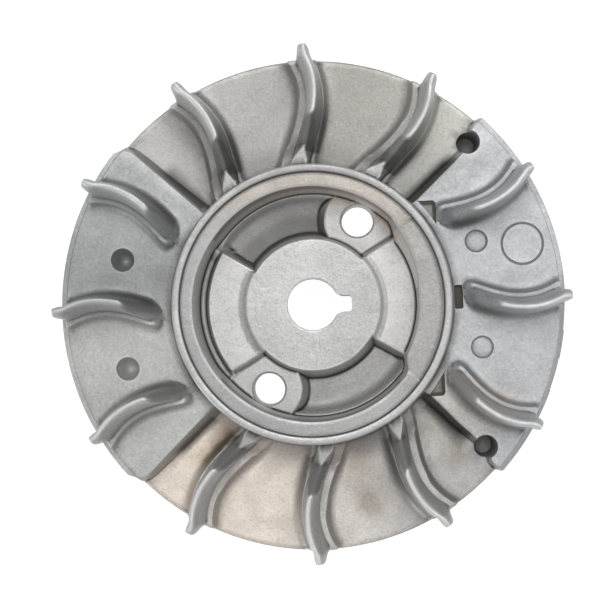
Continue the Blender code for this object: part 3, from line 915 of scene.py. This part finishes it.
def paint_zones(obj):
    """Per-point masks: machined lands, tinted zones, painted highlights on ridges and crests (partly worn edges),
    painted shade in hollows and on shaded faces, and painted light on lit ones.
    """
    mesh = obj.data
    n = len(mesh.vertices)
    co = np.empty(n * 3)
    mesh.vertices.foreach_get("co", co)
    co = co.reshape(-1, 3) / MM
    r = np.hypot(co[:, 0], co[:, 1])
    th = np.degrees(np.arctan2(co[:, 1], co[:, 0]))
    z = co[:, 2]
    bend = curvature(mesh, co)
    hub = (r < 12.9) & (np.abs(z - HUB_Z) < 0.12) & (r > 4.9)
    collar = (r > 25.3) & (r < 26.6) & (z > 20.85)
    ledge = (r > 20.2) & (r < 25.25) & (z > 19.4) & (z < 20.2)
    machined = np.where(hub | collar | ledge, 1.0, 0.0)
    d = lowness(r, th)
    fan = (r > 27.4) & (z > 7)
    low = step(-0.2, 1.2, d) * fan
    flat = low * (1 - step(0.3, 3.0, z - low_floor(r))) * step(-0.21, -0.03, z - low_floor(r))
    south = th < 0
    east = step(-125, -55, th)
    # painted light and warmer painted reflection on the low floors, strongest in the south where they tilt towards
    # the light
    warm_light = flat * np.where(south, 0.85 - 0.8 * east, 0.12)
    # painted reflection: the magnet sector's deck cooler and lighter
    cool_sheen = 0.55 * (d < 0) * fan * (np.abs(th) < 50)
    # painted shade: the counterweight sector's deck darker in its middle; below, the floor by the collar and the
    # south-east floors, ledge, collar top, pockets towards the hub, the hub's right side and the gutter
    shade_tone = (0.02 + 0.38 * np.exp(-(((th - 167) / 13) ** 2)) - 0.02 * (th < 0)) * (d < 0) * fan * (np.abs(th) > 90)
    shade = flat * (1 - step(28.0, 33.5, r))
    shade_tone += 0.28 * shade * np.where(south, 0.25, 1.0) + 0.17 * flat * south * step(-88, -64, th) + 0.05 * flat * south * step(-68, -56, th)
    shade_tone += 0.22 * ledge + (0.10 + 0.10 * (th > 0) + 0.20 * np.exp(-(((th - 90) / 30) ** 2))) * collar + 0.08 * ledge * (np.abs(th) < 45)
    pocket = (r > 13.3) & (r < 22.3) & (z < 9.75)
    deep = 1 - step(16.5, 21.0, r)
    shade_tone += np.where(pocket, np.where(south, 0.10 + 0.14 * deep, -0.12 + 0.86 * deep), 0.0)
    shade_tone += 0.16 * (r < 12.9) * step(-4, 8, co[:, 0]) * (z > 11)
    gutter = (r > 20.4) & (r < 22.3) & (np.abs(z - PAWL_Z) < 0.3) & (np.abs(th) > 145)
    shade_tone += 0.12 * gutter
    # dark, unlit recesses
    bore = (r < 5.75) & (z < HUB_Z - 0.12)
    key = (co[:, 0] > 3) & (co[:, 0] < 7.7) & (np.abs(co[:, 1]) < 1.75) & (z < HUB_Z - 0.05)
    pit = np.zeros(n)
    for pr, pa, size, top in (
        (43.25, 43.3, 2.5, 14.75), (43.0, -42.4, 2.5, 14.75),
        (37.7, 163.8, 2.3, 14.9), (37.7, 196.2, 2.3, 14.9),
        (HOLE_PCR, HOLE_A, HOLE_R + 0.2, PAWL_Z - 0.3), (HOLE_PCR, HOLE_A + 180, HOLE_R + 0.2, PAWL_Z - 0.3),
    ):
        px, py = polar(pr, pa)
        near = np.hypot(co[:, 0] - px, co[:, 1] - py) < size
        pit = np.maximum(pit, near * step(top, top - 1.2, z) * (0.03 if pa > 150 and pr > 30 else 0.45 if pa > 0 else 0.3))
    pit = np.maximum(pit, 0.75 * (bore | key))
    # painted light on the side pads, the hub and the pawl pads
    pad = (r > 13.2) & (r < 20.4) & (np.abs(z - SIDE_Z) < 0.2)
    painted_light = 0.62 * pad + 0.25 * hub + 0.25 * ((z > 9.85) & (z < 10.3) & (r < 22) & (r > 13)) * (1 - gutter)
    # painted highlight on convex edges, from the curvature, and along the blade crests; partly worn-bright edges
    ridge_highlight = np.clip(bend * 0.9 - 0.15, 0, 1) * (1 - 0.5 * (r < 12))
    crest = step(TOP_Z - 0.7, TOP_Z - 0.25, z)
    ridge_highlight = np.maximum(ridge_highlight * 0.9, 0.9 * crest)
    # painted shade in concave creases, from the curvature, and below at the foot of the sector steps
    hollow_shade = np.clip(-bend * 1.35 - 0.12, 0, 1)
    foot = step(-0.1, 0.5, d) * (1 - step(1.5, 2.3, d)) * (1 - step(1.0, 4.5, z - low_floor(r))) * fan
    hollow_shade = np.maximum(hollow_shade, foot * (1 - step(37.5, 40.5, r)) * (0.95 - 0.2 * (np.abs(th) > 90)))
    wing = (z > 9.9) & (r > 28) & (np.abs(np.abs(th) - 45) > 12)
    hollow_shade = np.where(wing & (d < -3), np.minimum(hollow_shade, 0.5), hollow_shade)
    # the drilled pits stay as light as their depth leaves them
    hollow_shade = np.where(pit > 0.02, pit, hollow_shade)
    # painted shade on the gutter's trench wall
    trench = (r > 20.3) & (r < 22.9) & (z < 18.2) & (z > 9) & (np.abs(th) > 144)
    shade_tone = shade_tone + 0.06 * trench * (z > PAWL_Z + 0.3)
    # cup wall: painted shade under the ledge, its brownish colour a painted reflection; painted light above the
    # pockets' lip
    rim_wall = (r > 21.3) & (r < 22.75) & (z > 9.7) & (z < 19.75) & (np.abs(th) > 44) & (np.abs(th) < 144)
    hollow_shade = np.maximum(hollow_shade, 0.42 * rim_wall * step(14.5, 17.5, z))
    ridge_highlight = ridge_highlight * (1 - trench)
    ridge_highlight = ridge_highlight * (1 - np.minimum(1, pit * 1.2))
    # along the blades: painted shade on the clockwise face, a painted highlight line outside the other foot
    k = np.round((th - sweep(r)) / 30.0)
    w = np.radians(wrap(th - 30 * k - sweep(r))) * r / stretch(r)
    raised = (d < 0) * 1.0
    deck_z = np.where(raised > 0, SECTOR_Z, low_floor(r))
    half = half_width(w, deck_z)
    along = (r > 29.5) * (r < 47.6) * fan * (np.abs(w) < 6)
    past = np.abs(w) - half
    # fade where the nose of a raised blade ends
    along = along * np.where(raised > 0, step(29.6, 31.2, r), 1.0)
    ccw = along * (w > 0)
    cw = along * (w < 0)
    reach = np.where(raised > 0, 1.35, 1.6)
    line = np.exp(-(((past - reach) / np.where(south, 0.55, 0.38)) ** 2))
    ridge_highlight = np.maximum(ridge_highlight, (0.42 - 0.12 * raised) * line * ccw * (1 - 0.8 * step(38, 44, r)) * np.where(south & (raised < 1), 0.45, 1.0))
    line = np.exp(-(((past - 0.2) / 0.4) ** 2))
    hollow_shade = np.maximum(hollow_shade, (0.36 - 0.12 * raised) * line * ccw * np.where(south, 0.8, 1.0))
    root = 1 - step(33.0, 42.0, r)
    line = np.exp(-((np.maximum(np.abs(past - 0.1) - 0.35, 0) / 0.55) ** 2))
    hollow_shade = np.maximum(hollow_shade, (0.16 + 0.52 * root) * line * cw * np.where(south, 0.75, 1.0))
    face = (past < 0) & (z < TOP_Z - 1.0) & (z > deck_z + 0.6)
    # faces towards +X and +Y lie in the shade
    normal = np.empty(n * 3, np.float32)
    mesh.vertices.foreach_get("normal", normal)
    normal = normal.reshape(-1, 3)
    lean = normal[:, 0] * 0.72 + normal[:, 1] * 0.69
    steep = fan * (r > 28.4) * (z > deck_z + 0.3) * step(0.35, 0.7, np.hypot(normal[:, 0], normal[:, 1]))
    shade_tone = shade_tone + steep * (0.42 * np.clip(lean, 0, 1) * (1 - 0.5 * step(38.5, 44, r)) + 0.05)
    shade_tone = shade_tone + 0.30 * steep * (1 - raised) * (1 - step(33.5, 39, r)) * (1 - 0.9 * south)
    # painted light on the northern low floors and on faces turned away from the shade
    painted_light = np.maximum(painted_light, flat * (th > 0) * (0.18 + 0.52 * np.exp(-(((th - 50) / 9) ** 2)) - 0.12 * np.exp(-(((th - 75) / 8) ** 2))))
    painted_light = np.maximum(painted_light, 0.22 * steep * np.clip(-lean - 0.2, 0, 1))
    # the clockwise side of the low blades' roots is in deep shade
    shady = along * (w < -0.4) * (past < 0.6) * (1 - raised) * (th > 0) * (1 - step(35.0, 41.5, r))
    shade_tone = shade_tone + 0.38 * shady * (z < TOP_Z - 0.8)
    # the sloping roof between the root land and the crest: a painted highlight along its middle line
    roof = (1 - raised) * fan * (r > 30.8) * (r < 36.2) * (z > SECTOR_Z + 0.3) * (z < TOP_Z - 0.5)
    ridge_highlight = np.maximum(ridge_highlight, 0.55 * roof * np.exp(-((w / 0.28) ** 2)))
    # no dark line where the low floors meet the collar on the bright side
    ring_foot = (r > 26.6) * (r < 29.2) * (z < 13) * south
    hollow_shade = hollow_shade * (1 - 0.6 * ring_foot)
    # the steps at the sector ends: painted shadow on the inner part of the magnet sector's steps and along their top
    # edge, painted light on their outer part
    ramp = step(-0.35, 0.0, d) * (1 - step(1.25, 1.9, d)) * fan * (r < 47)
    dark_end = 1 - step(38.6, 40.4, r)
    magnet_end = (np.abs(th) < 60) * 1.0
    hollow_shade = np.maximum(hollow_shade, ramp * magnet_end * dark_end * 0.8)
    lip = np.exp(-((d / 0.3) ** 2)) * fan * magnet_end * dark_end
    hollow_shade = np.maximum(hollow_shade, 0.9 * lip)
    painted_light = np.maximum(painted_light, 0.5 * ramp * magnet_end * (1 - dark_end) * (r < 47))
    ridge_highlight = ridge_highlight * (1 - ramp * magnet_end * dark_end)
    # painted shade outlining the steel's corner openings beside the collar
    outline = (r > 28.2) & (z > 10.5) & (z < 14.96) & (np.abs(th) > 27) & (np.abs(th) < 43) & (r < 32.0) & (co[:, 0] < 24.68) & (np.abs(co[:, 1]) < 18.86)
    hollow_shade = np.maximum(hollow_shade, 0.95 * outline)
    ridge_highlight = ridge_highlight * (1 - outline)
    # plain outer edge of the rim
    edge = (r > 47.0) & (z > 8) & (z < SECTOR_Z + 0.3)
    hollow_shade = hollow_shade * (1 - edge)
    ridge_highlight = np.where(edge, 0.2 * ridge_highlight, ridge_highlight)
    # the slanted end of the thick wall catches the light
    slant = (r > 20.1) & (r < 22.2) & (z > 11.2) & (z < 19.7) & (th > 6) & (th < 39)
    painted_light = np.maximum(painted_light, 0.85 * slant)
    # colour multipliers: dirt with painted shade, painted reflections and slight colour shifts
    tint = np.ones((n, 4))
    wall = (r > 20.0) & (r < 25.3) & (z > 9.9) & (z < 20.2)

    def stain_and_painted_light(where, rgb):
        w = np.asarray(where, float)[:, None]
        tint[:, :3] *= 1 + (np.array(rgb) - 1) * w

    stain_and_painted_light(flat * (th > 0) * (th > 88), (1.0, 0.995, 0.975))
    stain_and_painted_light(flat * (th > 0) * (th <= 88), (1.0, 1.005, 0.95))
    stain_and_painted_light(flat * south, (1.0, 0.985, 0.965))
    # a brownish painted reflection on the cup wall
    stain_and_painted_light(wall * step(20, 60, th) * (1 - step(110, 150, th)), (1.05, 0.96, 0.87))
    stain_and_painted_light(wall * (np.abs(th) < 45), (1.0, 0.975, 0.94))
    stain_and_painted_light(pocket, (1.0, 1.0, 0.975))
    stain_and_painted_light((d < 0) * fan * (np.abs(th) > 90), (0.985, 1.0, 1.005))
    # painted light on the cup wall above the pockets' lip
    cup = (r > 21.0) & (r < 22.8) & (z > 9.4) & (z < 19.8) & (np.abs(th) > 46) & (np.abs(th) < 146)
    painted_light = np.maximum(painted_light, 0.35 * cup * (1 - step(13.5, 16.5, z)))
    # the blind dimples' floors catch the light
    for pa in (163.8, 196.2):
        px, py = polar(37.7, pa)
        painted_light = np.maximum(painted_light, 0.45 * (np.hypot(co[:, 0] - px, co[:, 1] - py) < 2.3) * (z < 14.6) * (z > 8))
    # darker brownish patches on the low floors; the three by the collar's foot are dirt with painted shade
    for sr, sa, size, rgb in (
        (30.4, -126.2, 2.2, (0.46, 0.40, 0.33)),
        (33.4, -127.0, 2.1, (0.46, 0.40, 0.33)),
        (36.6, -127.6, 1.8, (0.60, 0.54, 0.46)),
        (39.4, -76.5, 3.0, (0.70, 0.66, 0.61)),
        (31.0, -78.0, 4.0, (0.82, 0.77, 0.71)),
        (39.8, -48.8, 2.2, (0.80, 0.72, 0.64)),
        (33.0, -50.0, 2.4, (0.90, 0.85, 0.78)),
    ):
        sx, sy = polar(sr, sa)
        near = np.exp(-(((co[:, 0] - sx) ** 2 + (co[:, 1] - sy) ** 2) / size**2))
        stain_and_painted_light(near * np.where(rgb[0] < 0.65, (r > 27.5) * (1 - step(10.5, 14.0, z)), flat), rgb)
    stain_and_painted_light((d < 0) * fan * (th < -27) * (th > -60) * (1 - step(41, 45, r)), (1.08, 1.02, 0.96))
    stain_and_painted_light((d < 0) * fan * (th < -100), (1.02, 1.01, 0.975))
    layer = mesh.attributes.new("tint", "FLOAT_COLOR", "POINT")
    layer.data.foreach_set("color", tint.astype(np.float32).ravel())
    for name, values in (
        ("machined", machined),
        ("warm_light", warm_light),
        ("cool_sheen", cool_sheen),
        ("shade_tone", shade_tone),
        ("painted_light", painted_light),
        ("ridge_highlight", ridge_highlight),
        ("hollow_shade", hollow_shade),
    ):
        layer = mesh.attributes.new(name, "FLOAT", "POINT")
        layer.data.foreach_set("value", values.astype(np.float32))
    print("ridge_highlight", ridge_highlight.mean(), "hollow_shade", hollow_shade.mean())


def smooth(obj, angle=38):
    mesh = obj.data
    mesh.shade_smooth()
    mesh.set_sharp_from_angle(angle=math.radians(angle))


# ---- build -----------------------------------------------------------------------
casting = build_casting()
carve(casting, cutters())
smooth(casting)
paint_zones(casting)
casting.data.materials.clear()
casting.data.materials.append(cast_aluminium())
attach(casting, "root")
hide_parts("rotor_casting")
print("casting", len(casting.data.polygons), "faces")

steel, black, pin = sheet_steel(), ferrite(), rivet_steel()
for name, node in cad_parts.items():
    if name == "rotor_casting":
        continue
    mat = steel if "_lam_" in name else black if name == "magnet" else pin
    for slot in node.material_slots:
        slot.material = mat
    if not node.material_slots:
        node.data.materials.append(mat)

# ---- stage, light, camera --------------------------------------------------------
scene = bpy.context.scene
scene.view_settings.view_transform = "Standard"
scene.view_settings.look = "None"


def floor():
    bm = bmesh.new()
    bmesh.ops.create_grid(bm, x_segments=8, y_segments=8, size=1.5)
    bmesh.ops.translate(bm, verts=bm.verts, vec=(0, 0, -0.0002))
    obj = from_bm("studio_floor", bm)
    n = Nodes("studio_floor")
    far = n.add("ShaderNodeVectorMath", operation="LENGTH")
    n.link(n.place, far.inputs[0])
    away = n.remap(far.outputs["Value"], 0.09, 0.22, 0.0, 1.0)
    n.link(n.mix(away, (0.25, 0.25, 0.25), (0.6, 0.6, 0.6)), n.shader.inputs["Base Color"])
    n.shader.inputs["Roughness"].default_value = 0.9
    n.shader.inputs["Specular IOR Level"].default_value = 0.1
    n.shader.inputs["Emission Color"].default_value = (1, 1, 1, 1)
    n.link(n.remap(away, 0.0, 1.0, 0.94, 0.1), n.shader.inputs["Emission Strength"])
    obj.data.materials.append(n.mat)
    return obj


floor()
world = bpy.data.worlds.new("studio")
scene.world = world
world.use_nodes = True


def studio_dome(tree):
    """Soft light from all round: bright overhead, dimmer near the horizon."""
    place = tree.nodes.new("ShaderNodeTexCoord")
    split = tree.nodes.new("ShaderNodeSeparateXYZ")
    ramp = tree.nodes.new("ShaderNodeValToRGB")
    ramp.color_ramp.elements[0].position = 0.0
    ramp.color_ramp.elements[0].color = (0.05, 0.05, 0.05, 1)
    middle = ramp.color_ramp.elements.new(0.35)
    middle.color = (0.36, 0.36, 0.36, 1)
    ramp.color_ramp.elements[2].position = 0.9
    ramp.color_ramp.elements[2].color = (1, 1, 1, 1)
    tree.links.new(place.outputs["Generated"], split.inputs["Vector"])
    tree.links.new(split.outputs["Z"], ramp.inputs["Fac"])
    tree.links.new(ramp.outputs["Color"], tree.nodes["Background"].inputs["Color"])
    tree.nodes["Background"].inputs["Strength"].default_value = 0.58


studio_dome(world.node_tree)


def softbox(name, place, target, size, power, colour=(1, 1, 1)):
    data = bpy.data.lights.new(name, "AREA")
    data.shape = "DISK"
    data.size = size
    data.energy = power
    data.color = colour
    obj = bpy.data.objects.new(name, data)
    scene.collection.objects.link(obj)
    obj.location = place
    aim = Vector(target) - Vector(place)
    obj.rotation_euler = aim.to_track_quat("-Z", "Y").to_euler()
    return obj


softbox("key", (0.04, 0.32, 0.80), (0, 0, 0.01), 0.52, 2.35)
softbox("fill", (0.45, -0.20, 0.60), (0, 0, 0.01), 0.45, 0.75)
softbox("side", (-0.62, -0.42, 0.30), (0, 0, 0.01), 0.35, 1.5)

ROLL = math.radians(3.0)
VIEW = Vector((0.0083, -0.0062, 0.335))
camera = bpy.data.cameras.new("camera")
camera.sensor_width = 36.0
camera.lens = 5.2 * 320 / 608 * 36.0
cam = bpy.data.objects.new("camera", camera)
scene.collection.objects.link(cam)
right = Vector((math.cos(-ROLL), math.sin(-ROLL), 0))
up = Vector((math.sin(ROLL), math.cos(ROLL), 0))
# the object's centre lies a little right of the picture's middle
target = Vector((0, 0, 0.015)) - right * (8.5 / 5.2 * MM) + up * (0.5 / 5.2 * MM)
back = (VIEW - target).normalized()
xaxis = up.cross(back).normalized()
yaxis = back.cross(xaxis).normalized()
basis = Matrix((xaxis, yaxis, back)).transposed()
cam.matrix_world = Matrix.Translation(VIEW) @ basis.to_4x4()
camera.dof.use_dof = False
scene.camera = cam
